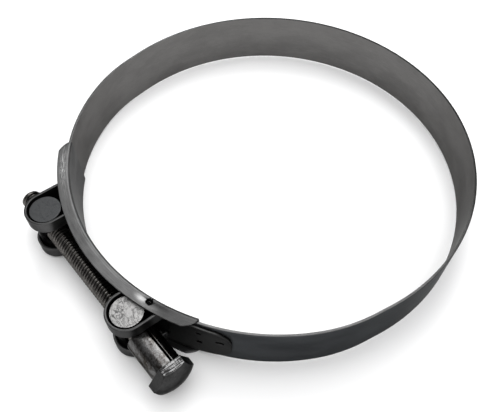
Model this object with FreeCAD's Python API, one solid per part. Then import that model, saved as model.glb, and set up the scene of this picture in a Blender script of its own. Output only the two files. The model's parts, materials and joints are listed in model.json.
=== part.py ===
import FreeCAD, Part
import math
import os

from FreeCAD import Vector

# Heavy-duty bolt band clamp for pipes and hoses.
# Millimetres, +Z up along the ring's axis, origin at the ring's centre at half its height.
# The bolt crosses the gap on the -Y side, parallel to X, with its head on the +X side.
# The stored state is fully open.

# Ring
ring_inner_radius = 91.0
band_thickness = 1.1
band_width = 26.0
band_half = band_width / 2

# The band flexes; here it bends at four lines, two on each side of the ring.
# These angles are measured from the -Y axis.
back_flex_angle = 123.0
front_flex_angle = 62.0

# Bridge plate, a channel inside the band that closes the gap
bridge_thickness = 0.8
bridge_band_clearance = 0.2
bridge_edge_clearance = 0.3
bridge_head_side_angle = 33.3
bridge_nut_side_angle = 37.5
flange_depth = 5.4
flange_end_slant = 3.2
flange_end_bulge = 0.3
bend_outside_radius = 1.3
crimp_angle = 20.8
crimp_hole_radius = 1.2
crimp_from_floor = 1.4

# Where the band rides on the bridge, it stands out by the bridge and its clearance
front_inner_radius = ring_inner_radius + bridge_thickness + bridge_band_clearance
step_bend_radius = 72.0

# Trunnions, one in each looped band end. The nut side stands further out, so the bolt is tilted.
trunnion_x = 30.5
plain_trunnion_y = -95.7
threaded_trunnion_y = -98.7
trunnion_radius = 6.7
trunnion_length = 24.0
trunnion_chamfer = 0.4
plain_bore_radius = 5.3
threaded_bore_radius = 5.4

# Looped ends
loop_inner_radius = 7.4
loop_bend_radius = 1.0
slot_half_width = 6.8
slot_past_gap_bend = 0.7
slot_past_outer_bend = 0.4
tongue_slot_half_width = 4.4
tongue_slot_end_angle = 33.0

# Folded-back tongue, welded on the outside of the band
tongue_end_angle = 41.5
tongue_end_half_width = 9.5
tongue_corner_radius = 7.0

# M10 bolt, 105 mm under the head
thread_radius = 4.9
bolt_length = 105.0
bolt_tip_chamfer = 1.0
head_height = 6.4
head_across_flats = 16.0
head_dome_radius = 16.0
head_rest_turn = -8.0

# Rolled spacer sleeve between the plain trunnion and the bolt head
sleeve_length = 17.8
sleeve_outer_radius = 6.5
sleeve_inner_radius = 5.3
sleeve_seam_width = 0.6
sleeve_seam_angle = 22.0
sleeve_end_play = 0.05

up = Vector(0, 0, 1)
along_bolt = Vector(1, 0, 0)
centre = Vector(0, 0, 0)
mid_band_radius = ring_inner_radius + band_thickness / 2
mid_front_radius = front_inner_radius + band_thickness / 2
bolt_rise = plain_trunnion_y - threaded_trunnion_y
trunnion_spacing = math.hypot(2 * trunnion_x, bolt_rise)
bolt_tilt = math.degrees(math.atan2(bolt_rise, 2 * trunnion_x))
bearing_face = trunnion_radius + sleeve_length + 2 * sleeve_end_play


def polar(angle, radius):
    """A point at this polar angle, in degrees from +X, and radius."""
    turn = math.radians(angle)
    return Vector(radius * math.cos(turn), radius * math.sin(turn), 0)


def line(start, end):
    """A straight run of a strip's centreline."""
    return {"start": start, "end": end}


def arc(middle, radius, from_angle, to_angle):
    """A round run of a strip's centreline, anticlockwise when to_angle is the larger."""
    return {"middle": middle, "radius": radius, "from": from_angle, "to": to_angle}


def offset_edge(run, offset):
    """The edge that lies this far to the left of one run of a centreline."""
    if "middle" not in run:
        heading = (run["end"] - run["start"]).normalize()
        shift = up.cross(heading) * offset
        return Part.LineSegment(run["start"] + shift, run["end"] + shift).toShape()
    turn_sign = 1 if run["to"] > run["from"] else -1
    radius = run["radius"] - turn_sign * offset
    angles = (run["from"], (run["from"] + run["to"]) / 2, run["to"])
    points = [run["middle"] + polar(angle, radius) for angle in angles]
    return Part.Arc(*points).toShape()


def strip(runs):
    """A band of the full width that follows a centreline of lines and arcs."""
    left = [offset_edge(run, band_thickness / 2) for run in runs]
    right = [offset_edge(run, -band_thickness / 2) for run in runs]
    caps = [
        Part.makeLine(left[0].firstVertex().Point, right[0].firstVertex().Point),
        Part.makeLine(left[-1].lastVertex().Point, right[-1].lastVertex().Point),
    ]
    outline = Part.Wire(Part.__sortEdges__(left + right + caps))
    face = Part.Face(outline)
    face.translate(Vector(0, 0, -band_half))
    return face.extrude(up * band_width)


def box(low, high):
    """A box between two corners."""
    size = high - low
    return Part.makeBox(size.x, size.y, size.z, low)


def on_bolt(shape):
    """A piece drawn along X from the plain trunnion's centre, put in its place."""
    shape.rotate(centre, up, bolt_tilt)
    shape.translate(Vector(trunnion_x, plain_trunnion_y, 0))
    return shape


def mirrored(shape):
    """The same piece on the nut side of the clamp."""
    return shape.mirror(centre, along_bolt)


def make_back_band():
    """The back of the ring, between its two rear flex lines."""
    first_cut = back_flex_angle - 90
    return strip([arc(centre, mid_band_radius, first_cut, 180 - first_cut)])


def make_middle_band():
    """The side of the ring on the head side, which steps out to clear the bridge."""
    run_in = mid_front_radius - mid_band_radius
    both = mid_front_radius + mid_band_radius
    step_length = math.sqrt(run_in * (both - 2 * step_bend_radius))
    step_angle = math.degrees(math.atan2(step_length, mid_band_radius - step_bend_radius))
    front_cut = front_flex_angle - 90
    step_start = front_cut + step_angle
    tangent_start = polar(step_start, mid_band_radius)
    tangent_end = tangent_start + polar(step_start - 90, step_length)
    bend_middle = tangent_end - polar(step_start, step_bend_radius)
    return strip(
        [
            arc(centre, mid_band_radius, back_flex_angle - 90, step_start),
            line(tangent_start, tangent_end),
            arc(bend_middle, step_bend_radius, step_start, front_cut),
        ]
    )


def on_ring(radius, x):
    """The point of a circle about the origin that has this x, on the bolt's side."""
    return Vector(x, -math.sqrt(radius**2 - x**2), 0)


def polar_angle(point):
    """A point's polar angle in degrees."""
    return math.degrees(math.atan2(point.y, point.x))


def make_end_band(trunnion_y):
    """A looped end, drawn on the head side: band, loop round its trunnion, and tongue."""
    bend_radius = loop_bend_radius + band_thickness / 2
    loop_radius = loop_inner_radius + band_thickness / 2
    loop_middle = Vector(trunnion_x, trunnion_y, 0)
    gap_wall_x = trunnion_x - loop_radius
    outer_wall_x = trunnion_x + loop_radius
    tongue_radius = mid_front_radius + band_thickness

    first_bend = on_ring(mid_front_radius + bend_radius, gap_wall_x + bend_radius)
    last_bend = on_ring(tongue_radius + bend_radius, outer_wall_x + bend_radius)
    first_tangent = polar_angle(first_bend)
    last_tangent = polar_angle(last_bend)

    loop = strip(
        [
            arc(centre, mid_front_radius, front_flex_angle - 90, first_tangent),
            arc(first_bend, bend_radius, first_tangent + 180, 180),
            line(Vector(gap_wall_x, first_bend.y, 0), Vector(gap_wall_x, trunnion_y, 0)),
            arc(loop_middle, loop_radius, 180, 360),
            line(Vector(outer_wall_x, trunnion_y, 0), Vector(outer_wall_x, last_bend.y, 0)),
        ]
    )
    tongue = strip(
        [
            arc(last_bend, bend_radius, 180, last_tangent + 180),
            arc(centre, tongue_radius, last_tangent, tongue_end_angle - 90),
        ]
    )
    tongue = tongue.common(make_tongue_outline(last_tangent + 90))
    end = loop.fuse(tongue).removeSplitter()
    return end.cut(make_bolt_slot(first_bend.y, last_bend.y)).removeSplitter()


def make_tongue_outline(start_angle):
    """A radial prism: it narrows from the band's width to the tongue's rounded tip."""
    tip_radius = front_inner_radius + band_thickness
    length = tip_radius * math.radians(tongue_end_angle - start_angle)
    lead_in = 4.0
    depth = 6.0
    same_place = 0.01
    points = [
        Vector(-lead_in, -band_half, 0),
        Vector(0, -band_half, 0),
        Vector(length, -tongue_end_half_width, 0),
        Vector(length, tongue_end_half_width, 0),
        Vector(0, band_half, 0),
        Vector(-lead_in, band_half, 0),
    ]
    prism = Part.Face(Part.makePolygon(points + points[:1])).extrude(up * depth)
    tip_edges = [
        edge
        for edge in prism.Edges
        if all(abs(vertex.X - length) < same_place for vertex in edge.Vertexes)
        and abs(edge.Vertexes[0].Z - edge.Vertexes[-1].Z) > same_place
    ]
    prism = prism.makeFillet(tongue_corner_radius, tip_edges)
    half_span = (tongue_end_angle - start_angle) / 2
    middle_angle = start_angle + half_span
    prism.translate(Vector(-length / 2, 0, tip_radius - depth / 2))
    # local X runs along the ring, local Y along its axis and local Z outwards
    prism.rotate(centre, along_bolt, 90)
    prism.rotate(centre, up, middle_angle)
    return prism


def make_bolt_slot(first_bend_y, last_bend_y):
    """The slot for the bolt: both walls, the top of the loop, and the root of the tongue."""
    outside = threaded_trunnion_y - 2 * loop_inner_radius
    loop_reach = loop_inner_radius + 2 * band_thickness
    gap_side = box(
        Vector(trunnion_x - loop_reach, outside, -slot_half_width),
        Vector(trunnion_x, first_bend_y + slot_past_gap_bend, slot_half_width),
    )
    outer_side = box(
        Vector(trunnion_x, outside, -slot_half_width),
        Vector(trunnion_x + loop_reach, last_bend_y + slot_past_outer_bend, slot_half_width),
    )
    tongue_root = box(
        Vector(trunnion_x, outside, -tongue_slot_half_width),
        Vector(
            front_inner_radius * math.sin(math.radians(tongue_slot_end_angle)),
            0,
            tongue_slot_half_width,
        ),
    )
    welded_face = Part.makeCylinder(
        front_inner_radius + band_thickness, 2 * band_width, -up * band_width, up
    )
    return gap_side.fuse(outer_side).fuse(tongue_root.cut(welded_face))


def quarter_bend(foot, radius, half_height, side):
    """The arc between a channel's floor, at this x, and the flange on one side."""
    middle = Vector(foot + radius, 0, side * (half_height - radius))
    start = middle - Vector(radius, 0, 0)
    half_way = middle + Vector(-radius, 0, side * radius) * math.sqrt(0.5)
    end = middle + Vector(0, 0, side * radius)
    return start, half_way, end


def make_bridge():
    """A channel of sheet along the inside of the band, its flanges outside the edges."""
    outside = band_half + bridge_edge_clearance + bridge_thickness
    inside = outside - bridge_thickness
    floor = ring_inner_radius + bridge_thickness
    top = ring_inner_radius + flange_depth
    inside_radius = bend_outside_radius - bridge_thickness

    low = quarter_bend(ring_inner_radius, bend_outside_radius, outside, -1)
    high = quarter_bend(ring_inner_radius, bend_outside_radius, outside, 1)
    inner_low = quarter_bend(floor, inside_radius, inside, -1)
    inner_high = quarter_bend(floor, inside_radius, inside, 1)
    edges = [
        Part.Arc(*low).toShape(),
        Part.makeLine(low[2], Vector(top, 0, -outside)),
        Part.makeLine(Vector(top, 0, -outside), Vector(top, 0, -inside)),
        Part.makeLine(Vector(top, 0, -inside), inner_low[2]),
        Part.Arc(*inner_low).toShape(),
        Part.makeLine(inner_low[0], inner_high[0]),
        Part.Arc(*inner_high).toShape(),
        Part.makeLine(inner_high[2], Vector(top, 0, inside)),
        Part.makeLine(Vector(top, 0, inside), Vector(top, 0, outside)),
        Part.makeLine(Vector(top, 0, outside), high[2]),
        Part.Arc(*high).toShape(),
        Part.makeLine(high[0], low[0]),
    ]
    profile = Part.Face(Part.Wire(Part.__sortEdges__(edges)))
    channel = profile.revolve(centre, up, bridge_head_side_angle + bridge_nut_side_angle)
    channel.rotate(centre, up, -90 - bridge_nut_side_angle)
    for end_angle, side in ((bridge_head_side_angle, 1), (-bridge_nut_side_angle, -1)):
        channel = channel.cut(make_flange_corner(end_angle, side))
    hole_foot = polar(crimp_angle - 90, floor + crimp_from_floor) - up * band_width
    crimp = Part.makeCylinder(crimp_hole_radius, 2 * band_width, hole_foot, up)
    return channel.cut(crimp)


def make_flange_corner(end_angle, side):
    """What is trimmed from both flanges at one end of the bridge, a rounded slant."""
    floor = ring_inner_radius + bridge_thickness
    above_flange = ring_inner_radius + flange_depth + bridge_thickness
    half_way = (floor + above_flange) / 2
    bulge_angle = end_angle - side * flange_end_bulge * flange_end_slant
    start = polar(end_angle - 90, floor)
    bulge = polar(bulge_angle - 90, half_way)
    tip = polar(end_angle - side * flange_end_slant - 90, above_flange)
    beyond = polar(end_angle + side - 90, above_flange)
    foot = polar(end_angle + side - 90, floor)
    edges = [
        Part.Arc(start, bulge, tip).toShape(),
        Part.makeLine(tip, beyond),
        Part.makeLine(beyond, foot),
        Part.makeLine(foot, start),
    ]
    face = Part.Face(Part.Wire(edges))
    face.translate(up * -band_width)
    return face.extrude(up * 2 * band_width)


def make_trunnion(distance, bore_radius):
    """A round bar with a cross hole, this far along the bolt from the plain trunnion."""
    low = Vector(distance, 0, -trunnion_length / 2)
    bar = Part.makeCylinder(trunnion_radius, trunnion_length, low, up)
    rims = [edge for edge in bar.Edges if len(edge.Vertexes) == 1]
    bar = bar.makeChamfer(trunnion_chamfer, rims)
    start = Vector(distance - 2 * trunnion_radius, 0, 0)
    bore = Part.makeCylinder(bore_radius, 4 * trunnion_radius, start, along_bolt)
    return on_bolt(bar.cut(bore))


def make_bolt():
    """A hexagon bolt with a domed head; the thread is a plain rod of its outer diameter."""
    tip = Vector(bearing_face - bolt_length, 0, 0)
    shank = Part.makeCylinder(thread_radius, bolt_length, tip, along_bolt)
    tip_edge = [edge for edge in shank.Edges if edge.BoundBox.XMax < tip.x + 0.01]
    shank = shank.makeChamfer(bolt_tip_chamfer, tip_edge)

    corner_radius = head_across_flats / math.sqrt(3)
    corners = []
    for i in range(6):
        corner = polar(60 * i + head_rest_turn, corner_radius)
        corners.append(Vector(bearing_face, corner.x, corner.y))
    head = Part.Face(Part.makePolygon(corners + corners[:1]))
    head = head.extrude(along_bolt * head_height)
    dome_middle = Vector(bearing_face + head_height - head_dome_radius, 0, 0)
    head = head.common(Part.makeSphere(head_dome_radius, dome_middle))
    return on_bolt(shank.fuse(head).removeSplitter())


def make_sleeve():
    """A sheet tube, rolled to leave an open seam on its upper side."""
    start = Vector(trunnion_radius + sleeve_end_play, 0, 0)
    tube = Part.makeCylinder(sleeve_outer_radius, sleeve_length, start, along_bolt)
    tube = tube.cut(Part.makeCylinder(sleeve_inner_radius, sleeve_length, start, along_bolt))
    seam = box(
        start + Vector(-1, -sleeve_seam_width / 2, 0),
        start + Vector(sleeve_length + 1, sleeve_seam_width / 2, 2 * sleeve_outer_radius),
    )
    seam.rotate(start, along_bolt, -sleeve_seam_angle)
    return on_bolt(tube.cut(seam))


middle_band = make_middle_band()
nodes = {
    "band_back": make_back_band(),
    "band_right_middle": middle_band,
    "band_right_end": make_end_band(plain_trunnion_y),
    "band_left_middle": mirrored(middle_band),
    "band_left_end": mirrored(make_end_band(threaded_trunnion_y)),
    "bridge_plate": make_bridge(),
    "plain_trunnion": make_trunnion(0, plain_bore_radius),
    "threaded_trunnion": make_trunnion(-trunnion_spacing, threaded_bore_radius),
    "clamping_bolt": make_bolt(),
    "spacer_sleeve": make_sleeve(),
}

os.makedirs("parts", exist_ok=True)
for name, shape in nodes.items():
    solids = shape.Solids
    print(name, "solids", len(solids), "valid", shape.isValid(), "volume", round(shape.Volume, 1))
    solids[0].exportStep(f"parts/{name}.step")
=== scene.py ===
import json
import math

import bmesh
import bpy
import numpy as np
from mathutils import Matrix, Vector


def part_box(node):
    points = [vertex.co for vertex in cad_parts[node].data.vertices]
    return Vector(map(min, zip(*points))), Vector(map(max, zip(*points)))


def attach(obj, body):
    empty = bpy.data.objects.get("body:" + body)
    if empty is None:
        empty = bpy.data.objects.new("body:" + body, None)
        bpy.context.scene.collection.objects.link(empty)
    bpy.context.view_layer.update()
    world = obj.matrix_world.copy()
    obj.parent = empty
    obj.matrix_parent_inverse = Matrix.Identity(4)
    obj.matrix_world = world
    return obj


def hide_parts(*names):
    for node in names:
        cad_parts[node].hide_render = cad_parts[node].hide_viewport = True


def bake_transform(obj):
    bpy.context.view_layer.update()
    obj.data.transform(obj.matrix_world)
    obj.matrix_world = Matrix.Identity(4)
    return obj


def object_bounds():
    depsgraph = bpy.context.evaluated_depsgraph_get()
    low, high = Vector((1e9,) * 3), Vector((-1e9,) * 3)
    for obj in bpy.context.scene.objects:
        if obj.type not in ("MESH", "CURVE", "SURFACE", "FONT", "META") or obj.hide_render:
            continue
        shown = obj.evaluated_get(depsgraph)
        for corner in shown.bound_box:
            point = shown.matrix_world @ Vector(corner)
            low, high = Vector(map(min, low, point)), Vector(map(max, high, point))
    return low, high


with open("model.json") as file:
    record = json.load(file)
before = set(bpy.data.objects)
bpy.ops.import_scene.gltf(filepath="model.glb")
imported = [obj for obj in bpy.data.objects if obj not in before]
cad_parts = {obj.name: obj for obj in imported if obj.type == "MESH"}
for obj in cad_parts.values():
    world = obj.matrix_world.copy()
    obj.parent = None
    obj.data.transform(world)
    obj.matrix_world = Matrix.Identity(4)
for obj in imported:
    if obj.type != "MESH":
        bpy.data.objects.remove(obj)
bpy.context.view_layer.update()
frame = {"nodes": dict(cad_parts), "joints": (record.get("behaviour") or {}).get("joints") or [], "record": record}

# Heavy-duty bolt band clamp. Lengths are millimetres here and metres in Blender.
MM = 0.001
record = frame["record"]
joints = {joint["name"]: joint for joint in frame["joints"]}
mounts = {mount["name"]: mount for mount in record["mounts"]}


def node_box(node):
    """The corners of a CAD node, in millimetres."""
    low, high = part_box(node)
    return low / MM, high / MM


def joint_place(name):
    """The point that a joint turns about, in millimetres."""
    return Vector(joints[name]["pos_m"]) / MM


def reach_along(node, origin, direction):
    """How far a CAD node reaches from an origin along a direction, in millimetres."""
    spots = [(vertex.co / MM - origin).dot(direction) for vertex in frame["nodes"][node].data.vertices]
    return min(spots), max(spots)


# Ring
ring_inner_radius = mounts["pipe_seat"]["dims"]["r_mm"]
band_half = node_box("band_back")[1].z
band_thickness = node_box("band_back")[1].y - ring_inner_radius
mid_band_radius = ring_inner_radius + band_thickness / 2

# Bridge plate
bridge_thickness = 0.8
bridge_band_clearance = 0.2
bridge_half = node_box("bridge_plate")[1].z
bridge_head_side_angle = 33.3
bridge_nut_side_angle = 37.5
flange_depth = 5.4
flange_end_slant = 3.2
bend_outside_radius = 1.3
crimp_angle = 20.8
crimp_hole_radius = 1.5
crimp_hole_depth = 0.55
crimp_from_floor = 1.4

# The front of the band rides outside the bridge plate
front_inner_radius = ring_inner_radius + bridge_thickness + bridge_band_clearance
mid_front_radius = front_inner_radius + band_thickness / 2
step_bend_radius = 72.0

# Trunnions and looped ends
plain_centre = joint_place("plain_trunnion_turn")
threaded_centre = joint_place("threaded_trunnion_turn")
trunnion_half = node_box("plain_trunnion")[1].z
trunnion_radius = (node_box("plain_trunnion")[1].x - node_box("plain_trunnion")[0].x) / 2
plain_bore_radius = 5.3
threaded_bore_radius = 5.4
loop_inner_radius = 7.4
loop_bend_radius = 1.0
slot_half_width = 6.8
slot_corner_radius = 2.0
slot_past_gap_bend = 0.7
head_slot_past_trunnion = 12.0
nut_slot_past_trunnion = 6.4
tongue_end_angle = 41.5
tongue_end_half_width = 9.5
tongue_corner_radius = 7.0

# Bolt and sleeve, measured along the bolt from the plain trunnion's centre
bolt_axis = -Vector(joints["bolt_turn"]["axis"]).normalized()
bolt_tip, bolt_end = reach_along("clamping_bolt", plain_centre, bolt_axis)
sleeve_start, sleeve_end = reach_along("spacer_sleeve", plain_centre, bolt_axis)
head_height = 6.4
bearing_face = bolt_end - head_height
head_across_flats = 16.0
head_dome_radius = 16.0
head_rest_turn = -8.0
thread_radius = 4.55
thread_pitch = 1.5
thread_depth = 0.8
thread_end = 2.0
tip_chamfer = 1.0
sleeve_outer_radius = 6.5
sleeve_inner_radius = 5.3
sleeve_seam_width = 0.6
sleeve_seam_angle = 68.0


# Shapes: helpers

# Points closer together than this are one point
merge_distance = 0.001


def polar(angle, radius):
    """A point in the ring's plane at this polar angle, in degrees from +X."""
    turn = math.radians(angle)
    return Vector((radius * math.cos(turn), radius * math.sin(turn), 0))


def link_mesh(name, points, faces):
    """A new mesh object from points in millimetres."""
    mesh = bpy.data.meshes.new(name)
    mesh.from_pydata([Vector(point) * MM for point in points], [], faces)
    mesh.validate()
    mesh.update()
    obj = bpy.data.objects.new(name, mesh)
    bpy.context.scene.collection.objects.link(obj)
    return obj


def apply_modifiers(obj):
    """Bakes an object's modifiers into its mesh."""
    bpy.context.view_layer.update()
    graph = bpy.context.evaluated_depsgraph_get()
    mesh = bpy.data.meshes.new_from_object(obj.evaluated_get(graph))
    obj.modifiers.clear()
    obj.data = mesh
    return obj


def tidy_mesh(obj):
    """Merges doubled points, drops loose ones and turns every face outwards."""
    work = bmesh.new()
    work.from_mesh(obj.data)
    bmesh.ops.remove_doubles(work, verts=work.verts, dist=merge_distance * MM)
    loose = [vertex for vertex in work.verts if not vertex.link_faces]
    bmesh.ops.delete(work, geom=loose, context="VERTS")
    bmesh.ops.recalc_face_normals(work, faces=work.faces)
    work.to_mesh(obj.data)
    work.free()
    return obj


def round_edges(obj, width, segments=2, sharp_angle=35.0, skip=None):
    """Rounds the sharp edges, except those whose two ends both pass the skip test."""
    work = bmesh.new()
    work.from_mesh(obj.data)
    weights = work.edges.layers.float.get("bevel_weight_edge")
    if weights is None:
        weights = work.edges.layers.float.new("bevel_weight_edge")
    for edge in work.edges:
        sharp = len(edge.link_faces) == 2 and math.degrees(edge.calc_face_angle(0)) > sharp_angle
        if sharp and skip and all(skip(vertex.co / MM) for vertex in edge.verts):
            sharp = False
        edge[weights] = 1.0 if sharp else 0.0
    work.to_mesh(obj.data)
    work.free()
    bevel = obj.modifiers.new("round", "BEVEL")
    bevel.limit_method = "WEIGHT"
    bevel.width = width * MM
    bevel.segments = segments
    bevel.use_clamp_overlap = False
    return apply_modifiers(obj)


def smooth_shade(obj, sharp_angle=48.0):
    """Shades an object smooth, with the large faces ruling the normals of small ones."""
    obj.data.polygons.foreach_set("use_smooth", [True] * len(obj.data.polygons))
    obj.data.set_sharp_from_angle(angle=math.radians(sharp_angle))
    weighted = obj.modifiers.new("weighted", "WEIGHTED_NORMAL")
    weighted.keep_sharp = True
    weighted.weight = 60
    return apply_modifiers(obj)


def combine(obj, other, operation):
    """Cuts another closed mesh out of this one, or joins it on, and uses it up."""
    combining = obj.modifiers.new("combine", "BOOLEAN")
    combining.operation = operation
    combining.solver = "EXACT"
    combining.object = other
    apply_modifiers(obj)
    bpy.data.objects.remove(other)
    return obj


def thicken(obj, thickness):
    """Gives a middle sheet its thickness, half on each side."""
    sheet = obj.modifiers.new("sheet", "SOLIDIFY")
    sheet.thickness = thickness * MM
    sheet.offset = 0
    sheet.use_even_offset = True
    return tidy_mesh(apply_modifiers(obj))


def rod(name, start, end, radius, sides):
    """A closed cylinder between two points, used to cut a hole."""
    axis = (Vector(end) - Vector(start)).normalized()
    side = axis.orthogonal().normalized()
    across = axis.cross(side)
    points = []
    for centre in (start, end):
        for i in range(sides):
            turn = math.tau * i / sides
            points.append(Vector(centre) + (side * math.cos(turn) + across * math.sin(turn)) * radius)
    faces = [[i, (i + 1) % sides, (i + 1) % sides + sides, i + sides] for i in range(sides)]
    faces.append(list(range(sides))[::-1])
    faces.append(list(range(sides, 2 * sides)))
    return tidy_mesh(link_mesh(name, points, faces))


def ring_faces(rows, sides):
    """The faces that join rows of points, where each row is a closed ring."""
    faces = []
    for i in range(rows - 1):
        for j in range(sides):
            k = (j + 1) % sides
            faces.append([i * sides + j, i * sides + k, (i + 1) * sides + k, (i + 1) * sides + j])
    return faces


def on_bolt(obj):
    """Moves a piece drawn along X from the plain trunnion's centre to its place."""
    tilt = math.atan2(bolt_axis.y, bolt_axis.x)
    obj.data.transform(Matrix.Translation(plain_centre * MM) @ Matrix.Rotation(tilt, 4, "Z"))
    return obj


def paint(obj, materials, choose=None):
    """Gives an object its materials; choose names the one for a face's centre and normal."""
    obj.data.materials.clear()
    names = list(materials)
    for name in names:
        obj.data.materials.append(materials[name])
    for polygon in obj.data.polygons:
        name = choose(polygon.center / MM, polygon.normal) if choose else names[0]
        polygon.material_index = names.index(name)
    return obj


# The band's centreline and outline


def line(start, end):
    """A straight run of a centreline."""
    return {"start": start, "end": end, "length": (end - start).length}


def arc(middle, radius, from_angle, to_angle):
    """A round run of a centreline."""
    length = radius * math.radians(abs(to_angle - from_angle))
    return {"middle": middle, "radius": radius, "from": from_angle, "to": to_angle, "length": length}


def along_run(run, share):
    """The point at this share of a run, and the direction to the left of the heading."""
    if "middle" not in run:
        heading = (run["end"] - run["start"]).normalized()
        return run["start"].lerp(run["end"], share), Vector((-heading.y, heading.x, 0))
    angle = run["from"] + (run["to"] - run["from"]) * share
    outward = polar(angle, 1)
    turn_sign = 1 if run["to"] > run["from"] else -1
    return run["middle"] + outward * run["radius"], outward * -turn_sign


def on_ring(radius, x):
    """The point of a circle about the origin that has this x, on the bolt's side."""
    return Vector((x, -math.sqrt(radius**2 - x**2), 0))


def polar_angle(point):
    """A point's polar angle in degrees."""
    return math.degrees(math.atan2(point.y, point.x))


def band_runs(trunnion):
    """Half of the band, from the ring's back to its tongue's tip, drawn on the head side."""
    x, y = abs(trunnion.x), trunnion.y
    run_in = mid_front_radius - mid_band_radius
    both = mid_front_radius + mid_band_radius
    step_length = math.sqrt(run_in * (both - 2 * step_bend_radius))
    step_angle = math.degrees(math.atan2(step_length, mid_band_radius - step_bend_radius))
    front_cut = polar_angle(joint_place("right_front_flex"))
    step_start = front_cut + step_angle
    tangent_start = polar(step_start, mid_band_radius)
    tangent_end = tangent_start + polar(step_start - 90, step_length)
    bend_middle = tangent_end - polar(step_start, step_bend_radius)

    bend_radius = loop_bend_radius + band_thickness / 2
    loop_radius = loop_inner_radius + band_thickness / 2
    tongue_radius = mid_front_radius + band_thickness
    gap_wall = x - loop_radius
    outer_wall = x + loop_radius
    first_bend = on_ring(mid_front_radius + bend_radius, gap_wall + bend_radius)
    last_bend = on_ring(tongue_radius + bend_radius, outer_wall + bend_radius)
    first_tangent = polar_angle(first_bend)
    last_tangent = polar_angle(last_bend)
    origin = Vector((0, 0, 0))
    return {
        "ring": arc(origin, mid_band_radius, 90, step_start),
        "step": line(tangent_start, tangent_end),
        "step_bend": arc(bend_middle, step_bend_radius, step_start, front_cut),
        "front": arc(origin, mid_front_radius, front_cut, first_tangent),
        "gap_bend": arc(first_bend, bend_radius, first_tangent + 180, 180),
        "gap_wall": line(Vector((gap_wall, first_bend.y, 0)), Vector((gap_wall, y, 0))),
        "loop": arc(Vector((x, y, 0)), loop_radius, 180, 360),
        "outer_wall": line(Vector((outer_wall, y, 0)), Vector((outer_wall, last_bend.y, 0))),
        "outer_bend": arc(last_bend, bend_radius, 180, last_tangent + 180),
        "tongue": arc(origin, tongue_radius, last_tangent, tongue_end_angle - 90),
    }


# How closely each run is divided
station_steps = {
    "ring": 2.0,
    "step": 2.0,
    "step_bend": 1.6,
    "front": 1.6,
    "gap_bend": 0.2,
    "gap_wall": 0.6,
    "loop": 0.5,
    "outer_wall": 0.6,
    "outer_bend": 0.2,
    "tongue": 0.3,
}
slot_rows = 6
edge_rows = 14


class Strip:
    """Half of the band laid flat: distance along it, its slot and its edges."""

    def __init__(self, trunnion):
        self.side = 1 if trunnion.x > 0 else -1
        self.runs = band_runs(trunnion)
        self.starts = {}
        distance = 0
        for name, run in self.runs.items():
            self.starts[name] = distance
            distance += run["length"]
        self.length = distance
        bend = self.runs["gap_bend"]
        slot_turn = 180 - math.degrees(math.asin(slot_past_gap_bend / bend["radius"]))
        share = (slot_turn - bend["from"]) / (bend["to"] - bend["from"])
        self.slot_start = self.starts["gap_bend"] + bend["length"] * share
        past_trunnion = head_slot_past_trunnion if self.side > 0 else nut_slot_past_trunnion
        self.slot_end = self.starts["outer_wall"] + past_trunnion

    def place(self, distance):
        """The centreline's point and left-hand direction at this distance."""
        for name, run in self.runs.items():
            share = (distance - self.starts[name]) / run["length"]
            if share <= 1 or name == "tongue":
                point, left = along_run(run, min(share, 1))
                if self.side < 0:
                    point = Vector((-point.x, point.y, 0))
                    left = Vector((-left.x, left.y, 0))
                return point, left

    def slot_half(self, distance):
        """Half the slot's width here, or where its rows run when there is no slot."""
        radius = slot_corner_radius
        if distance <= self.slot_start:
            return slot_half_width - radius
        if distance < self.slot_start + radius:
            rest = radius - (distance - self.slot_start)
            return slot_half_width - radius + math.sqrt(radius**2 - rest**2)
        rest = min(max(radius - (self.slot_end - distance), 0), radius)
        return slot_half_width - radius + math.sqrt(radius**2 - rest**2)

    def edge_half(self, distance):
        """Half the strip's width here."""
        start = self.starts["tongue"]
        if distance <= start:
            return band_half
        share = (distance - start) / (self.length - start)
        width = band_half + (tongue_end_half_width - band_half) * share
        rest = tongue_corner_radius - (self.length - distance)
        if rest <= 0:
            return width
        drop = tongue_corner_radius - math.sqrt(max(tongue_corner_radius**2 - rest**2, 0))
        return width - drop

    def stations(self, start, end):
        """The distances at which the strip is divided."""
        spots = []
        for name, run in self.runs.items():
            count = max(1, round(run["length"] / station_steps[name]))
            spots.extend(self.starts[name] + run["length"] * i / count for i in range(count + 1))
        exact = [start, end, self.slot_start, self.slot_end]
        for corner, reach, count in (
            (self.slot_start, slot_corner_radius, 8),
            (self.slot_end, -slot_corner_radius, 8),
            (self.length, -tongue_corner_radius, 16),
        ):
            for i in range(1, count + 1):
                exact.append(corner + reach * (1 - math.cos(math.radians(90 * i / count))))
        closest = 0.09
        kept = [spot for spot in spots if all(abs(spot - other) > closest for other in exact)]
        ends = (start - closest / 10, end + closest / 10)
        return sorted(spot for spot in set(kept + exact) if ends[0] <= spot <= ends[1])


def strip_sheet(strip, start, end):
    """The middle sheet of a stretch of the band as a grid, with its slot left open."""
    stations = strip.stations(start, end)
    points = []
    flat = []
    for distance in stations:
        point, _ = strip.place(distance)
        inner = strip.slot_half(distance)
        outer = strip.edge_half(distance)
        inner = min(inner, outer - 0.5)
        heights = [inner * i / slot_rows for i in range(slot_rows)]
        heights += [inner + (outer - inner) * i / edge_rows for i in range(edge_rows + 1)]
        for height in [-height for height in heights[:0:-1]] + heights:
            points.append((point.x, point.y, height))
            flat.append((distance, height))
    rows = 2 * (slot_rows + edge_rows) + 1
    middle = slot_rows + edge_rows
    faces = []
    for i in range(len(stations) - 1):
        half_way = (stations[i] + stations[i + 1]) / 2
        in_slot = strip.slot_start < half_way < strip.slot_end
        for j in range(rows - 1):
            if in_slot and middle - slot_rows <= j < middle + slot_rows:
                continue
            corner = i * rows + j
            faces.append([corner, corner + rows, corner + rows + 1, corner + 1])
    return points, flat, faces


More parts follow.
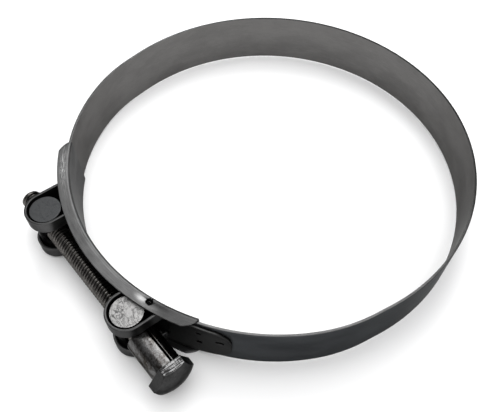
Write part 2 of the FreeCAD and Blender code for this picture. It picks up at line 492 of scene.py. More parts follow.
def build_band(name, strip, start, end):
    """A stretch of the band as a closed sheet of even thickness with rounded edges."""
    points, flat, faces = strip_sheet(strip, start, end)
    count = len(points)
    shells = []
    half = band_thickness / 2
    for sign in (1, -1):
        for (x, y, z), (distance, height) in zip(points, flat):
            _, left = strip.place(distance)
            shells.append(Vector((x, y, z)) + left * half * sign)
    solid = [face[::-1] for face in faces] + [[corner + count for corner in face] for face in faces]
    edge_use = {}
    for face in faces:
        for a, b in zip(face, face[1:] + face[:1]):
            edge_use.setdefault((min(a, b), max(a, b)), []).append((a, b))
    for uses in edge_use.values():
        if len(uses) == 1:
            a, b = uses[0]
            solid.append([a, b, b + count, a + count])
    obj = link_mesh(name, shells, solid)
    attribute = obj.data.attributes.new("strip", "FLOAT_VECTOR", "POINT")
    values = [(distance, height, sign) for sign in (1, -1) for distance, height in flat]
    attribute.data.foreach_set("vector", [value for triple in values for value in triple])
    tidy_mesh(obj)
    press_weld_marks(obj, strip)

    seams = [strip.place(spot)[0] for spot in (start, end) if spot < strip.length - 1]

    def at_seam(point):
        """Whether a point is on an end where the next stretch of the band goes on."""
        flat_point = Vector((point.x, point.y, 0))
        return any((flat_point - seam).length < band_thickness for seam in seams)

    round_edges(obj, 0.24, 2, skip=at_seam)
    return smooth_shade(obj)


# Marks of the spot welder on a tongue: front angle, height, half length, half height, depth
weld_marks = (
    (38.7, 2.4, 1.3, 0.8, 0.4),
    (33.5, 6.4, 0.95, 0.6, 0.5),
    (33.5, -1.4, 0.95, 0.6, 0.5),
)


def weld_mark_depth(strip, distance, height):
    """How deep the weld marks go here, and the share of that mark's full depth."""
    tongue = strip.runs["tongue"]
    for front_angle, mark_height, half_length, half_height, depth in weld_marks:
        share = (front_angle - 90 - tongue["from"]) / (tongue["to"] - tongue["from"])
        mark_distance = strip.starts["tongue"] + tongue["length"] * share
        gap = ((distance - mark_distance) / half_length) ** 4 + ((height - mark_height) / half_height) ** 4
        if gap < 4:
            return depth * math.exp(-gap), math.exp(-gap)
    return 0, 0


def press_weld_marks(obj, strip):
    """Presses the weld marks into the tongue's outer face."""
    layer = obj.data.attributes["strip"].data
    for vertex, value in zip(obj.data.vertices, layer):
        distance, height, sign = value.vector
        if sign < 0 and distance > strip.starts["tongue"]:
            depth, _ = weld_mark_depth(strip, distance, height)
            _, left = strip.place(distance)
            vertex.co += left * depth * MM


# The bridge plate


def bridge_profile():
    """Half of the channel's middle line as radius and height, from its floor's centre out."""
    half = bridge_half - bridge_thickness / 2
    floor = ring_inner_radius + bridge_thickness / 2
    bend = bend_outside_radius - bridge_thickness / 2
    spots = [(floor, (half - bend) * i / 10) for i in range(10)]
    for i in range(7):
        turn = math.radians(90 * i / 6)
        spots.append((floor + bend - bend * math.cos(turn), half - bend + bend * math.sin(turn)))
    top = ring_inner_radius + flange_depth
    foot = floor + bend
    spots.extend((foot + (top - foot) * i / 26, half) for i in range(1, 27))
    return spots


def flange_shortfall(radius, on_flange):
    """How much sooner than the floor the plate ends at this radius, in degrees."""
    if not on_flange:
        return 0
    floor = ring_inner_radius + bridge_thickness
    top = ring_inner_radius + flange_depth
    share = max(radius - floor, 0) / (top - floor)
    return flange_end_slant * (0.2 * share + 0.8 * share**2)


crimp_dent_half_length = 6.0
crimp_dent_half_width = 2.6
crimp_dent_depth = 0.8


def crimp_dent(angle, radius):
    """How deep the crimp's dent is at a point of a flange."""
    along = math.radians(angle - crimp_angle) * radius / crimp_dent_half_length
    across = (radius - ring_inner_radius - bridge_thickness - crimp_from_floor) / crimp_dent_half_width
    gap = math.hypot(along, across)
    clear_of_bend = min(1, max(0, (radius - ring_inner_radius - bridge_thickness / 2) / 1.4))
    dent = crimp_dent_depth * clear_of_bend * max(0, 1 - gap) ** 1.5
    from_hole = math.hypot(along * crimp_dent_half_length, across * crimp_dent_half_width)
    wall = min(1, max(0, (crimp_hole_radius + 0.1 - from_hole) / 0.2))
    return dent + crimp_hole_depth * wall


def build_bridge(name):
    """The bridge plate: a rolled channel with slanted flange ends and a crimp on each side."""
    half_profile = bridge_profile()
    profile = [(radius, -height) for radius, height in half_profile[:0:-1]] + half_profile
    shares = list(np.linspace(0, 1, 60))
    crimp_share = (crimp_angle + bridge_nut_side_angle) / (bridge_nut_side_angle + bridge_head_side_angle)
    hole_share = 1.2 * math.degrees(crimp_hole_radius / ring_inner_radius)
    hole_share /= bridge_nut_side_angle + bridge_head_side_angle
    shares += list(np.linspace(crimp_share - 0.09, crimp_share + 0.09, 30))
    shares += list(np.linspace(crimp_share - hole_share, crimp_share + hole_share, 24))
    shares = sorted(set(round(share, 5) for share in shares))
    floor = ring_inner_radius + bridge_thickness / 2
    points = []
    wear_and_painted_light = []
    for share in shares:
        for radius, height in profile:
            on_flange = radius > floor + 0.3
            short = flange_shortfall(radius, on_flange)
            low = -bridge_nut_side_angle + short
            high = bridge_head_side_angle - short
            angle = low + (high - low) * share
            side = math.copysign(1, height)
            in_flange = abs(height) > bridge_half - bridge_thickness
            dent = crimp_dent(angle, radius) if in_flange else 0
            spot = polar(angle - 90, radius)
            points.append((spot.x, spot.y, height - side * dent))
            wear_and_painted_light.append((angle, radius, height))
    rows = len(profile)
    faces = []
    for i in range(len(shares) - 1):
        for j in range(rows - 1):
            corner = i * rows + j
            faces.append([corner, corner + rows, corner + rows + 1, corner + 1])
    obj = link_mesh(name, points, faces)
    attribute = obj.data.attributes.new("strip", "FLOAT_VECTOR", "POINT")
    layout = []
    for angle, radius, height in wear_and_painted_light:
        layout.extend((math.radians(angle) * ring_inner_radius, height + radius, 0))
    attribute.data.foreach_set("vector", layout)
    thicken(obj, bridge_thickness)

    def in_crimp(point):
        """Whether a point is by the crimp's hole, whose edges stay crisp."""
        hole = polar(crimp_angle - 90, ring_inner_radius + bridge_thickness + crimp_from_floor)
        return math.hypot(point.x - hole.x, point.y - hole.y) < crimp_hole_radius * 1.5

    round_edges(obj, 0.18, 2, sharp_angle=50, skip=in_crimp)
    return smooth_shade(obj, 40)


# Turned pieces


def build_trunnion(name, centre, bore_radius):
    """A round bar, thicker where the loop's walls hold it, with a cross hole for the bolt."""
    shoulder = trunnion_radius + (loop_inner_radius - trunnion_radius) * 0.8
    waist = slot_half_width + 0.1
    rim = 0.3
    profile = [(0, trunnion_half), (trunnion_radius * 0.35, trunnion_half)]
    profile += [(trunnion_radius * 0.7, trunnion_half)]
    for i in range(5):
        turn = math.radians(75 * i / 4)
        radius = trunnion_radius - rim + rim * math.sin(turn)
        profile.append((radius, trunnion_half - rim + rim * math.cos(turn)))
    profile += [(shoulder, trunnion_half - 1.6), (shoulder, waist + 0.4)]
    profile += [(trunnion_radius, waist), (trunnion_radius, waist * 0.5), (trunnion_radius, 0)]
    profile += [(radius, -height) for radius, height in profile[-2::-1]]
    obj = lathe(name, profile, 96)
    obj.data.transform(Matrix.Translation(centre * MM))
    reach = bolt_axis * trunnion_radius * 2
    combine(obj, rod("bore", centre - reach, centre + reach, bore_radius, 64), "DIFFERENCE")
    tidy_mesh(obj)
    round_edges(obj, 0.2, 2, sharp_angle=40)
    return smooth_shade(obj, 40)


def lathe(name, profile, sides):
    """A closed solid turned about Z from radius and height pairs."""
    points = []
    for radius, height in profile:
        for i in range(sides):
            turn = math.tau * i / sides
            points.append((radius * math.cos(turn), radius * math.sin(turn), height))
    return tidy_mesh(link_mesh(name, points, ring_faces(len(profile), sides)))


def build_sleeve(name):
    """A sheet rolled into a tube that leaves an open seam."""
    middle = (sleeve_outer_radius + sleeve_inner_radius) / 2
    gap = math.degrees(sleeve_seam_width / middle)
    turns = np.linspace(sleeve_seam_angle + gap / 2, sleeve_seam_angle + 360 - gap / 2, 97)
    ends = np.linspace(sleeve_start, sleeve_end, 15)
    points = []
    for x in ends:
        for turn in turns:
            spot = polar(turn, middle)
            points.append((x, spot.x, spot.y))
    rows = len(turns)
    faces = []
    for i in range(len(ends) - 1):
        for j in range(rows - 1):
            corner = i * rows + j
            faces.append([corner, corner + 1, corner + rows + 1, corner + rows])
    obj = link_mesh(name, points, faces)
    thicken(obj, sleeve_outer_radius - sleeve_inner_radius)
    round_edges(obj, 0.28, 3, sharp_angle=50)
    return on_bolt(smooth_shade(obj))


# The bolt

# One turn of thread as share of the pitch and share of the depth
thread_profile = ((0.0, 0.0), (0.13, 0.04), (0.41, 0.93), (0.5, 1.0), (0.59, 0.93), (0.87, 0.04))
thread_sides = 44


def build_thread(name):
    """A right-hand thread as one helical sheet, cut square at both ends and capped."""
    per_turn = len(thread_profile)
    first = math.floor(bolt_tip / thread_pitch) - 2
    last = math.ceil(thread_end / thread_pitch) + 1
    points = []
    for k in range(first, last):
        for share, height in thread_profile:
            radius = thread_radius - thread_depth * (1 - height)
            for j in range(thread_sides):
                turn = math.tau * j / thread_sides
                x = thread_pitch * (k + share + j / thread_sides)
                points.append((x, radius * math.cos(turn), radius * math.sin(turn)))
    rows = (last - first) * per_turn
    faces = []
    for i in range(rows - 1):
        for j in range(thread_sides):
            k = j + 1
            lift = 0
            if k == thread_sides:
                k = 0
                lift = per_turn
            if i + 1 + lift >= rows:
                continue
            a = i * thread_sides + j
            b = (i + lift) * thread_sides + k
            faces.append([a, b, b + thread_sides, a + thread_sides])
    obj = link_mesh(name, points, faces)
    work = bmesh.new()
    work.from_mesh(obj.data)
    for spot, keep in ((bolt_tip, -1), (thread_end, 1)):
        cut = bmesh.ops.bisect_plane(
            work,
            geom=work.verts[:] + work.edges[:] + work.faces[:],
            plane_co=Vector((spot, 0, 0)) * MM,
            plane_no=Vector((keep, 0, 0)),
            clear_outer=True,
        )
        rim = [item for item in cut["geom_cut"] if isinstance(item, bmesh.types.BMEdge)]
        bmesh.ops.contextual_create(work, geom=rim)
    for vertex in work.verts:
        x = vertex.co.x / MM
        limit = thread_radius - tip_chamfer + (x - bolt_tip)
        radius = math.hypot(vertex.co.y, vertex.co.z) / MM
        if radius > limit:
            vertex.co.y *= limit / radius
            vertex.co.z *= limit / radius
    bmesh.ops.recalc_face_normals(work, faces=work.faces)
    work.to_mesh(obj.data)
    work.free()
    return obj


def dome_height(radius):
    """The height of the head's dome above the bearing face."""
    return head_height - head_dome_radius + math.sqrt(head_dome_radius**2 - radius**2)


def build_head(name):
    """The hexagon head with its dome, and the plain shank under it."""
    apothem = head_across_flats / 2
    per_side = 10
    sides = 6 * per_side
    rings = []
    turns = [60 * i / per_side + head_rest_turn for i in range(sides)]

    def hexagon(turn):
        """The hexagon's radius at this angle."""
        off_middle = (turn - head_rest_turn) % 60 - 30
        return apothem / math.cos(math.radians(off_middle))

    def ring(height, radius):
        """One ring of points; height and radius are functions of the hexagon's radius."""
        rings.append([(height(hexagon(turn)), radius(hexagon(turn)), turn) for turn in turns])

    shank_radius = thread_radius - 0.02
    ring(lambda r: thread_end - bearing_face - 0.5, lambda r: shank_radius)
    ring(lambda r: 0, lambda r: shank_radius)
    for share in (0.0, 0.5, 1.0):
        ring(lambda r: dome_height(r) * share, lambda r: r)
    for share in (0.92, 0.8, 0.6, 0.4, 0.2):
        ring(lambda r: dome_height(r * share), lambda r: r * share)
    points = []
    for one in rings:
        for height, radius, turn in one:
            spot = polar(turn, radius)
            points.append((bearing_face + height, spot.x, spot.y))
    faces = ring_faces(len(rings), sides)
    faces.append(list(range(sides))[::-1])
    last = (len(rings) - 1) * sides
    points.append((bearing_face + head_height, 0, 0))
    top = len(points) - 1
    faces.extend([last + j, last + (j + 1) % sides, top] for j in range(sides))
    obj = tidy_mesh(link_mesh(name, points, faces))
    return round_edges(obj, 0.3, 3, sharp_angle=30)


def build_bolt(name):
    """The clamping bolt: head and shank joined to the threaded rod."""
    bolt = combine(build_head(name), build_thread("thread"), "UNION")
    return on_bolt(smooth_shade(bolt, 38))


# Materials


def feed(tree, socket, value):
    """Sets an input to a value, or links it when the value is another node's socket."""
    if isinstance(value, bpy.types.NodeSocket):
        tree.links.new(value, socket)
    else:
        socket.default_value = value


def add_node(tree, kind, settings=None, inputs=None):
    """A new node with its settings and inputs."""
    node = tree.nodes.new(kind)
    for name, value in (settings or {}).items():
        setattr(node, name, value)
    for name, value in (inputs or {}).items():
        feed(tree, node.inputs[name], value)
    return node


def new_material(name):
    """An empty material: its tree and its shader node."""
    material = bpy.data.materials.new(name)
    material.use_nodes = True
    tree = material.node_tree
    shader = tree.nodes["Principled BSDF"]
    return material, tree, shader


def strip_coordinates(tree):
    """Distance along the sheet, height across it and side, as a vector in millimetres."""
    return add_node(tree, "ShaderNodeAttribute", {"attribute_name": "strip"}).outputs["Vector"]


def object_coordinates(tree):
    """The object's own coordinates in millimetres."""
    coordinates = add_node(tree, "ShaderNodeTexCoord").outputs["Object"]
    scale = (1 / MM, 1 / MM, 1 / MM)
    mapping = add_node(tree, "ShaderNodeMapping", {}, {"Vector": coordinates, "Scale": scale})
    return mapping.outputs["Vector"]


def noise(tree, vector, stretch, detail=4.0, roughness=0.55, distortion=0.0):
    """A noise whose grain is this many millimetres long in each direction."""
    scale = tuple(1 / length for length in stretch)
    mapping = add_node(tree, "ShaderNodeMapping", {}, {"Vector": vector, "Scale": scale})
    inputs = {"Vector": mapping.outputs["Vector"], "Scale": 1.0, "Detail": detail}
    inputs.update({"Roughness": roughness, "Distortion": distortion})
    return add_node(tree, "ShaderNodeTexNoise", {}, inputs).outputs["Fac"]


def remap(tree, value, low, high, to_low, to_high):
    """A value taken from one range to another, and held inside it."""
    return add_node(
        tree,
        "ShaderNodeMapRange",
        {"clamp": True, "interpolation_type": "SMOOTHSTEP"},
        {"Value": value, "From Min": low, "From Max": high, "To Min": to_low, "To Max": to_high},
    ).outputs["Result"]


def calculate(tree, operation, first, second):
    """One step of arithmetic on two values."""
    node = add_node(tree, "ShaderNodeMath", {"operation": operation})
    for socket, value in zip(node.inputs, (first, second)):
        feed(tree, socket, value)
    return node.outputs["Value"]


def plus(tree, first, second):
    """Two values added."""
    return calculate(tree, "ADD", first, second)


def times(tree, first, second):
    """Two values multiplied."""
    return calculate(tree, "MULTIPLY", first, second)


def weigh(tree, first, share, second):
    """Two values mixed, with this share of the first."""
    return plus(tree, times(tree, first, share), times(tree, second, 1 - share))


def blend_colours(tree, share, first, second):
    """A mix of two colours."""
    node = add_node(tree, "ShaderNodeMix", {"data_type": "RGBA"})
    for socket, value in zip((node.inputs[0], node.inputs[6], node.inputs[7]), (share, first, second)):
        feed(tree, socket, value)
    return node.outputs[2]


def finish_metal(tree, shader, base, roughness, height, distance):
    """Joins colour, roughness and a bump, in millimetres, to a metal that stays dark at its edges."""
    tree.links.new(base, shader.inputs["Base Color"])
    tree.links.new(roughness, shader.inputs["Roughness"])
    inputs = {"Height": height, "Distance": distance * MM, "Strength": 1.0}
    bump = add_node(tree, "ShaderNodeBump", {}, inputs)
    tree.links.new(bump.outputs["Normal"], shader.inputs["Normal"])
    shader.inputs["Metallic"].default_value = 1.0
    shader.inputs["Specular Tint"].default_value = (0.4, 0.4, 0.4, 1.0)


def spot(tree, vector, centre, size):
    """A soft round patch, 1 in its middle and 0 outside; sizes in millimetres."""
    offset = add_node(
        tree, "ShaderNodeVectorMath", {"operation": "SUBTRACT"}, {0: vector, 1: centre}
    ).outputs["Vector"]
    scaled = add_node(
        tree, "ShaderNodeVectorMath", {"operation": "DIVIDE"}, {0: offset, 1: size}
    ).outputs["Vector"]
    length = add_node(tree, "ShaderNodeVectorMath", {"operation": "LENGTH"}, {0: scaled})
    return remap(tree, length.outputs["Value"], 0, 1, 1, 0)


def grey(value, warmth=0.0):
    """A grey as linear colour; warmth above 0 is yellower and below 0 is bluer."""
    return (value * (1 + warmth), value, value * (1 - warmth), 1.0)


def rolled_steel(name, dark, light, roughness, warmth=0.0, streak=0.35, wear_and_painted_light=None):
    """Rolled strip: fine grain along its length, cloudy patches and faint rub marks; a given function may scale
    the colour further by wear marks, painted shade and painted highlights.
    """
    material, tree, shader = new_material(name)
    vector = strip_coordinates(tree)
    grain = noise(tree, vector, (9.0, 0.16, 1.0), 5.0, 0.6)
    fine = noise(tree, vector, (2.2, 0.07, 1.0), 3.0, 0.6)
    cloud = noise(tree, vector, (26.0, 11.0, 1.0), 3.0, 0.5)
    smudge = noise(tree, vector, (7.0, 4.0, 1.0), 5.0, 0.62)
    patch = weigh(tree, cloud, 0.65, smudge)
    light_share = remap(tree, patch, 0.34, 0.66, 0, 1)
    base = blend_colours(tree, light_share, grey(dark, warmth), grey(light, warmth))
    lines = weigh(tree, grain, 0.6, fine)
    shade = remap(tree, lines, 0.3, 0.7, 1 - streak, 1 + streak)
    if wear_and_painted_light:
        shade = times(tree, shade, wear_and_painted_light(tree, vector))
    scaled = add_node(tree, "ShaderNodeVectorMath", {"operation": "SCALE"}, {0: base, "Scale": shade})
    rough = remap(tree, plus(tree, lines, patch), 0.7, 1.3, roughness - 0.06, roughness + 0.09)
    finish_metal(tree, shader, scaled.outputs["Vector"], rough, lines, 0.012)
    return material


def rim_back_painted_shade(tree, vector):
    """Painted shade: the band's edge is darker towards the back of the ring."""
    along = add_node(tree, "ShaderNodeSeparateXYZ", {}, {"Vector": vector}).outputs["X"]
    return remap(tree, along, 80.0, 130.0, 0.3, 1.0)


def flange_wear_and_painted_light(tree, vector):
    """Rub marks near the nut side, a painted highlight and a painted shadow by the crimp, a bright fold line that
    is partly tooling marks and partly painted highlight, and painted shade darkening the head's end.
    """
    flange_foot = bridge_half - bridge_thickness / 2 + ring_inner_radius
    one_degree = math.radians(1) * ring_inner_radius
    scratches = noise(tree, vector, (3.2, 0.35, 1.0), 5.0, 0.7)
    rubbed = spot(tree, vector, (-28.5 * one_degree, flange_foot + 2.9, 0), (16.0, 2.1, 1.0))
    marks = times(tree, remap(tree, scratches, 0.49, 0.56, 0, 1), rubbed)
    # Painted highlight: the bright smear left of the crimp's hole.
    crimp_painted_highlight = spot(tree, vector, (18.7 * one_degree, flange_foot + 2.7, 0), (4.6, 1.9, 1.0))
    shadow = spot(tree, vector, (23.6 * one_degree, flange_foot + 2.0, 0), (6.0, 1.9, 1.0))
    along = add_node(tree, "ShaderNodeSeparateXYZ", {}, {"Vector": vector}).outputs["X"]
    # Painted shade: the flange darkens towards the head's end.
    head_end_painted_shade = remap(tree, along, 21 * one_degree, 26 * one_degree, 1.0, 0.55)
    # A bright line along the flange's fold: partly tooling marks, partly painted highlight.
    fold_tooling_and_painted_highlight = spot(tree, vector, (2 * one_degree, flange_foot + 1.9, 0), (28.0, 0.4, 1.0))
    total = head_end_painted_shade
    for mark, strength in ((marks, 2.6), (fold_tooling_and_painted_highlight, 0.5), (crimp_painted_highlight, 1.6), (shadow, -0.35)):
        total = plus(tree, total, times(tree, mark, strength))
    return total


def cut_face_steel(name, dark, light, roughness, pit_height, warmth=0.01):
    """A sawn bar end: mottled, slightly pitted and crossed by fine curved scratches."""
    material, tree, shader = new_material(name)
    vector = object_coordinates(tree)
    mottle = noise(tree, vector, (1.1, 1.1, 1.1), 4.0, 0.66)
    cloud = noise(tree, vector, (4.2, 4.2, 4.2), 2.0, 0.5)
    swirl = noise(tree, vector, (4.2, 2.4, 3.0), 1.0, 0.4, 1.8)
    veins = calculate(tree, "ABSOLUTE", calculate(tree, "SUBTRACT", swirl, 0.5), 0.0)
    depth = remap(tree, cloud, 0.42, 0.5, 0.0, 1.0)
    line = times(tree, remap(tree, veins, 0.005, 0.045, 1.0, 0.0), depth)
    patches = remap(tree, mottle, 0.36, 0.54, 0.55, 1.0)
    mix = times(tree, patches, calculate(tree, "SUBTRACT", 1.0, line))
    base = blend_colours(tree, mix, grey(dark, warmth), grey(light, warmth))
    rough = remap(tree, mottle, 0.35, 0.65, roughness + 0.1, roughness - 0.05)
    finish_metal(tree, shader, base, rough, mix, pit_height)
    return material


def turned_steel(name, dark, light, roughness, warmth=0.0):
    """A bar's drawn side or a rolled tube: short dull scratches and cloudy oil film."""
    material, tree, shader = new_material(name)
    vector = object_coordinates(tree)
    cloud = noise(tree, vector, (5.0, 3.0, 3.0), 5.0, 0.6)
    speck = noise(tree, vector, (0.8, 0.8, 0.8), 4.0, 0.65)
    mix = weigh(tree, cloud, 0.55, speck)
    base = blend_colours(tree, remap(tree, mix, 0.36, 0.64, 0, 1), grey(dark, warmth), grey(light))
    rough = remap(tree, mix, 0.35, 0.65, roughness - 0.06, roughness + 0.1)
    finish_metal(tree, shader, base, rough, mix, 0.02)
    return material


def bolt_thread_steel(name):
    """Oiled thread: dark steel with cloudy, slightly warm patches."""
    material, tree, shader = new_material(name)
    vector = object_coordinates(tree)
    cloud = noise(tree, vector, (3.0, 3.0, 3.0), 5.0, 0.6)
    speck = noise(tree, vector, (0.5, 0.5, 0.5), 4.0, 0.65)
    mix = weigh(tree, cloud, 0.5, speck)
    base = blend_colours(tree, remap(tree, mix, 0.36, 0.64, 0, 1), grey(0.04, 0.05), grey(0.135, 0.05))
    finish_metal(tree, shader, base, remap(tree, mix, 0.35, 0.65, 0.16, 0.26), mix, 0.008)
    return material


def tooled_steel_with_painted_highlight(name):
    """The head's top flat: rows of fine tooling lines, bright on their ridges, and lighter than the other flats as
    a painted highlight.
    """
    material, tree, shader = new_material(name)
    vector = object_coordinates(tree)
    lines = noise(tree, vector, (0.5, 4.5, 4.5), 1.0, 0.5)
    strokes = noise(tree, vector, (1.9, 0.45, 0.45), 1.5, 0.5)
    mix = weigh(tree, lines, 0.68, strokes)
    base = blend_colours(tree, remap(tree, mix, 0.42, 0.58, 0, 1), grey(0.016), grey(0.14))
    finish_metal(tree, shader, base, remap(tree, mix, 0.42, 0.58, 0.45, 0.3), mix, 0.07)
    return material


def floor_paint(name):
    """A plain pale floor with the faintest mottle."""
    material, tree, shader = new_material(name)
    coordinates = add_node(tree, "ShaderNodeTexCoord").outputs["Object"]
    mottle = add_node(
        tree, "ShaderNodeTexNoise", {}, {"Vector": coordinates, "Scale": 6.0, "Detail": 3.0}
    ).outputs["Fac"]
    base = blend_colours(tree, mottle, (0.93, 0.93, 0.935, 1.0), (0.96, 0.96, 0.96, 1.0))
    tree.links.new(base, shader.inputs["Base Color"])
    shader.inputs["Roughness"].default_value = 0.9
    shader.inputs["Specular IOR Level"].default_value = 0.1
    return material


band_materials = {
    "inside": rolled_steel("band_inside", 0.114, 0.145, 0.36, 0.02, 0.15),
    # The outside is a darker copy of the inside's steel: painted shade.
    "outside": rolled_steel("band_outside", 0.056, 0.074, 0.38, -0.05, 0.25),
    # The rim's colour darkens towards the ring's back: painted shade.
    "rim": rolled_steel("band_rim", 0.06, 0.1, 0.34, wear_and_painted_light=rim_back_painted_shade),
    # The loop and the loop rims are darker copies of the band's steel: painted shade.
    "loop": rolled_steel("band_loop", 0.062, 0.1, 0.33),
    "loop_rim": rolled_steel("band_loop_rim", 0.035, 0.06, 0.33),
    # The tongue is a darker copy of the band's steel: painted shade where the bridge and head shade it.
    "tongue": rolled_steel("band_tongue", 0.034, 0.05, 0.38),
    # Near-black paint in the weld marks' dents: painted shade.
    "pit": rolled_steel("band_weld_pit", 0.001, 0.004, 0.5),
}
bridge_materials = {
    # The flange's colour carries rub marks, painted shade and painted highlights.
    "flange": rolled_steel("bridge_flange", 0.062, 0.104, 0.36, wear_and_painted_light=flange_wear_and_painted_light),
    "floor": rolled_steel("bridge_floor", 0.09, 0.14, 0.36),
    # The outer rims are a lighter copy of the steel: painted highlight.
    "rim": rolled_steel("bridge_rim", 0.12, 0.2, 0.32),
    # The crimp's hole is painted near-black: painted shade.
    "pit": rolled_steel("bridge_crimp_pit", 0.001, 0.004, 0.5),
}
plain_trunnion_materials = {
    # The turned side is painted near-black: painted shade where it shows in the loop.
    "side": turned_steel("trunnion_side", 0.006, 0.014, 0.34),
    "face": cut_face_steel("trunnion_bright_face", 0.08, 0.24, 0.42, 0.05),
}
threaded_trunnion_materials = {
    # The turned side is painted near-black: painted shade where it shows in the loop.
    "side": turned_steel("trunnion_side_dull", 0.006, 0.014, 0.34),
    "face": cut_face_steel("trunnion_dull_face", 0.04, 0.058, 0.4, 0.006, -0.03),
}
sleeve_material = turned_steel("sleeve_steel", 0.024, 0.14, 0.16, 0.15)
head_material = turned_steel("bolt_dome_steel", 0.032, 0.054, 0.34)
# Only the upward flat gets this lighter steel: painted highlight.
top_flat_painted_highlight_material = tooled_steel_with_painted_highlight("bolt_flat_steel")
thread_material = bolt_thread_steel("bolt_thread_steel")


# Assembly: band


def ring_radius(point):
    """A point's distance from the ring's axis."""
    return math.hypot(point.x, point.y)


def paint_band(obj, strip):
    """The inside gets the band's own colour; the outside, loop, loop rims and tongue get darker copies of it as
    painted shade, the weld marks near-black painted shade, and the rims their own colour with painted shade
    towards the ring's back.
    """
    layer = obj.data.attributes["strip"].data
    names = list(band_materials)
    obj.data.materials.clear()
    for name in names:
        obj.data.materials.append(band_materials[name])
    for polygon in obj.data.polygons:
        distance = sum(layer[i].vector[0] for i in polygon.vertices) / len(polygon.vertices)
        point, left = strip.place(distance)
        centre = polygon.center / MM
        flat_centre = Vector((centre.x, centre.y, 0))
        offset = (flat_centre - point).dot(left) / (band_thickness / 2)
        height = sum(layer[i].vector[1] for i in polygon.vertices) / len(polygon.vertices)
        past_bend = distance > strip.starts["gap_bend"] - 6
        on_tongue = distance > strip.starts["tongue"]
        if on_tongue:
            # Faces in a weld mark's dent get the near-black pit material: painted shade.
            _, pit = weld_mark_depth(strip, distance, height)
            # The tongue's darker material is painted shade.
            name = "pit" if pit > 0.1 and offset < 0 else "tongue"
        elif abs(polygon.normal.z) > 0.5 or abs(offset) < 0.9:
            # Past the first bend the rims get the loop rims' darker material: painted shade.
            name = "loop_rim" if past_bend else "rim"
        # The loop's darker material is painted shade.
        elif past_bend:
            name = "loop"
        else:
            # The outside's darker material is painted shade.
            name = "outside" if offset > 0 else "inside"
        polygon.material_index = names.index(name)


def add_band_side(side, trunnion):
    """The rear and front stretches of one half of the band, split midway between its two flex lines."""
    strip = Strip(trunnion)
    rear_flex = joint_place(f"{side}_back_flex")
    front_flex = joint_place(f"{side}_front_flex")
    rear_angle = polar_angle(Vector((abs(rear_flex.x), rear_flex.y, 0)))
    front_angle = polar_angle(Vector((abs(front_flex.x), front_flex.y, 0)))
    split_angle = (rear_angle + front_angle) / 2
    split = mid_band_radius * math.radians(90 - split_angle)
    stretches = (
        (f"band_{side}_rear", 0, split, rear_angle, "back", f"{side}_middle", "band_back"),
        (f"band_{side}_front", split, strip.length, front_angle, f"{side}_middle", f"{side}_end", None),
    )
    for name, start, end, flex_angle, first_body, second_body, extra in stretches:
        obj = build_band(name, strip, start, end)
        paint_band(obj, strip)
        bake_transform(obj)
        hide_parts(extra or f"band_{side}_end", f"band_{side}_middle")


add_band_side("right", plain_centre)
add_band_side("left", threaded_centre)


# Assembly: bridge plate, trunnions, bolt and sleeve


def bridge_part(centre, normal):
    """Which material of the bridge plate a face has; the crimp's hole gets painted shade and the outer rim a
    painted highlight.
    """
    hole = polar(crimp_angle - 90, ring_inner_radius + bridge_thickness + crimp_from_floor)
    from_hole = Vector((centre.x - hole.x, centre.y - hole.y)).length
    # Faces in the crimp's hole get near-black paint: painted shade.
    if from_hole < crimp_hole_radius * 1.01 and abs(centre.z) < bridge_half - 0.3:
        return "pit"
    if abs(normal.z) > 0.6 and abs(centre.z) > bridge_half - bridge_thickness - 1:
        return "flange"
    radius = ring_radius(centre)
    on_rim = radius > ring_inner_radius + flange_depth - 0.2
    # The rim's lighter material is a painted highlight.
    return "rim" if on_rim else "floor"


def trunnion_part(centre, normal):
    """Which material of a trunnion a face has; the near-black side is painted shade."""
    return "face" if abs(normal.z) > 0.9 and abs(centre.z) > trunnion_half - 0.1 else "side"


def add_rigid(obj, body, node):
    """A piece that rides on one body and stands for one CAD node."""
    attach(obj, body)
    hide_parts(node)
    return obj


bridge = paint(build_bridge("bridge"), bridge_materials, bridge_part)
add_rigid(bridge, "right_end", "bridge_plate")

plain = build_trunnion("trunnion_plain", plain_centre, plain_bore_radius)
paint(plain, plain_trunnion_materials, trunnion_part)
add_rigid(plain, "plain_trunnion", "plain_trunnion")

threaded = build_trunnion("trunnion_threaded", threaded_centre, threaded_bore_radius)
paint(threaded, threaded_trunnion_materials, trunnion_part)
add_rigid(threaded, "threaded_trunnion", "threaded_trunnion")


def bolt_part(centre, normal):
    """Which material of the bolt a face has; only the flat facing up gets the lighter tooled steel, a painted
    highlight.
    """
    along = (centre - plain_centre).dot(bolt_axis)
    if along < bearing_face - 0.5:
        return "thread"
    # The flat facing up gets the lighter tooled steel as a painted highlight; the other flats share the dome's
    # steel.
    return "flat" if abs(normal.dot(bolt_axis)) < 0.15 and normal.z > 0.9 else "dome"


bolt_materials = {"thread": thread_material, "dome": head_material, "flat": top_flat_painted_highlight_material}
bolt = paint(build_bolt("bolt"), bolt_materials, bolt_part)
add_rigid(bolt, "bolt", "clamping_bolt")

sleeve = paint(build_sleeve("sleeve"), {"tube": sleeve_material})
add_rigid(sleeve, "sleeve", "spacer_sleeve")


# Floor, lights and camera


def add_floor():
    """A pale floor under the clamp, wide enough to reach the horizon; in metres."""
    half = 14.0
    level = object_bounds()[0][2]
    mesh = bpy.data.meshes.new("floor")
    corners = [(-half, -half, level), (half, -half, level), (half, half, level), (-half, half, level)]
    mesh.from_pydata(corners, [], [(0, 1, 2, 3)])
    floor = bpy.data.objects.new("floor", mesh)
    bpy.context.scene.collection.objects.link(floor)
    mesh.materials.append(floor_paint("floor_paint"))


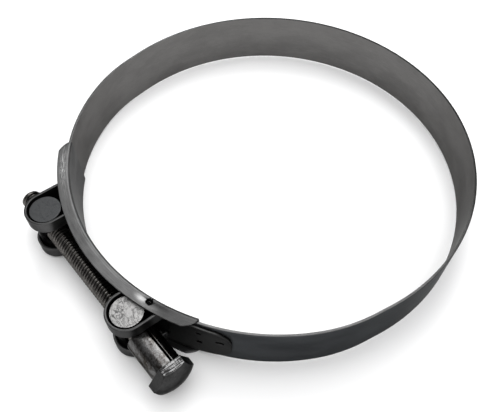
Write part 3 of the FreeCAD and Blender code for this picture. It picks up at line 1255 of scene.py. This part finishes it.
def add_area_light(name, azimuth, elevation, distance, size, power):
    """A soft oblong light that looks at the clamp's middle; in degrees, metres and watts."""
    data = bpy.data.lights.new(name, "AREA")
    data.shape = "RECTANGLE"
    data.size, data.size_y = size
    data.energy = power
    light = bpy.data.objects.new(name, data)
    turn, rise = math.radians(azimuth), math.radians(elevation)
    direction = Vector((math.cos(rise) * math.cos(turn), math.cos(rise) * math.sin(turn), math.sin(rise)))
    light.location = direction * distance
    light.rotation_euler = (-direction).to_track_quat("-Z", "Y").to_euler()
    bpy.context.scene.collection.objects.link(light)


def set_world():
    """A white surround, dimmer on the bolt's side and just above its pale horizon."""
    world = bpy.data.worlds.new("surround")
    world.use_nodes = True
    tree = world.node_tree
    background = tree.nodes["Background"]
    direction = add_node(tree, "ShaderNodeTexCoord").outputs["Generated"]
    parts = add_node(tree, "ShaderNodeSeparateXYZ", {}, {"Vector": direction}).outputs
    high = remap(tree, parts["Z"], 0.0, 0.7, 0.25, 1.0)
    behind = remap(tree, parts["Y"], -0.75, -0.05, 0.3, 1.0)
    horizon = remap(tree, parts["Z"], 0.14, 0.34, 0.85, 0.0)
    strength = calculate(tree, "MAXIMUM", times(tree, high, behind), horizon)
    tree.links.new(strength, background.inputs["Strength"])
    background.inputs["Color"].default_value = (1.0, 1.0, 1.0, 1.0)
    bpy.context.scene.world = world


def add_camera():
    """The main view: from above the bolt, on the head's side."""
    data = bpy.data.cameras.new("camera")
    data.sensor_width = 36.0
    data.lens = 41.14
    data.clip_start = 0.01
    camera = bpy.data.objects.new("camera", data)
    camera.location = Vector((128.23, -117.6, 211.34)) * MM
    look_at = Vector((14.06, -23.78, 0)) * MM
    roll = Matrix.Rotation(math.radians(1.7), 4, "Z")
    aim = (look_at - camera.location).to_track_quat("-Z", "Y").to_matrix().to_4x4()
    camera.matrix_world = Matrix.Translation(camera.location) @ aim @ roll
    bpy.context.scene.collection.objects.link(camera)
    bpy.context.scene.camera = camera


add_floor()
add_area_light("key", 139, 54, 1.1, (0.6, 0.45), 4.0)
add_area_light("overhead", 0, 89, 1.5, (1.2, 1.2), 13.0)
set_world()
add_camera()
bpy.context.scene.view_settings.view_transform = "Standard"
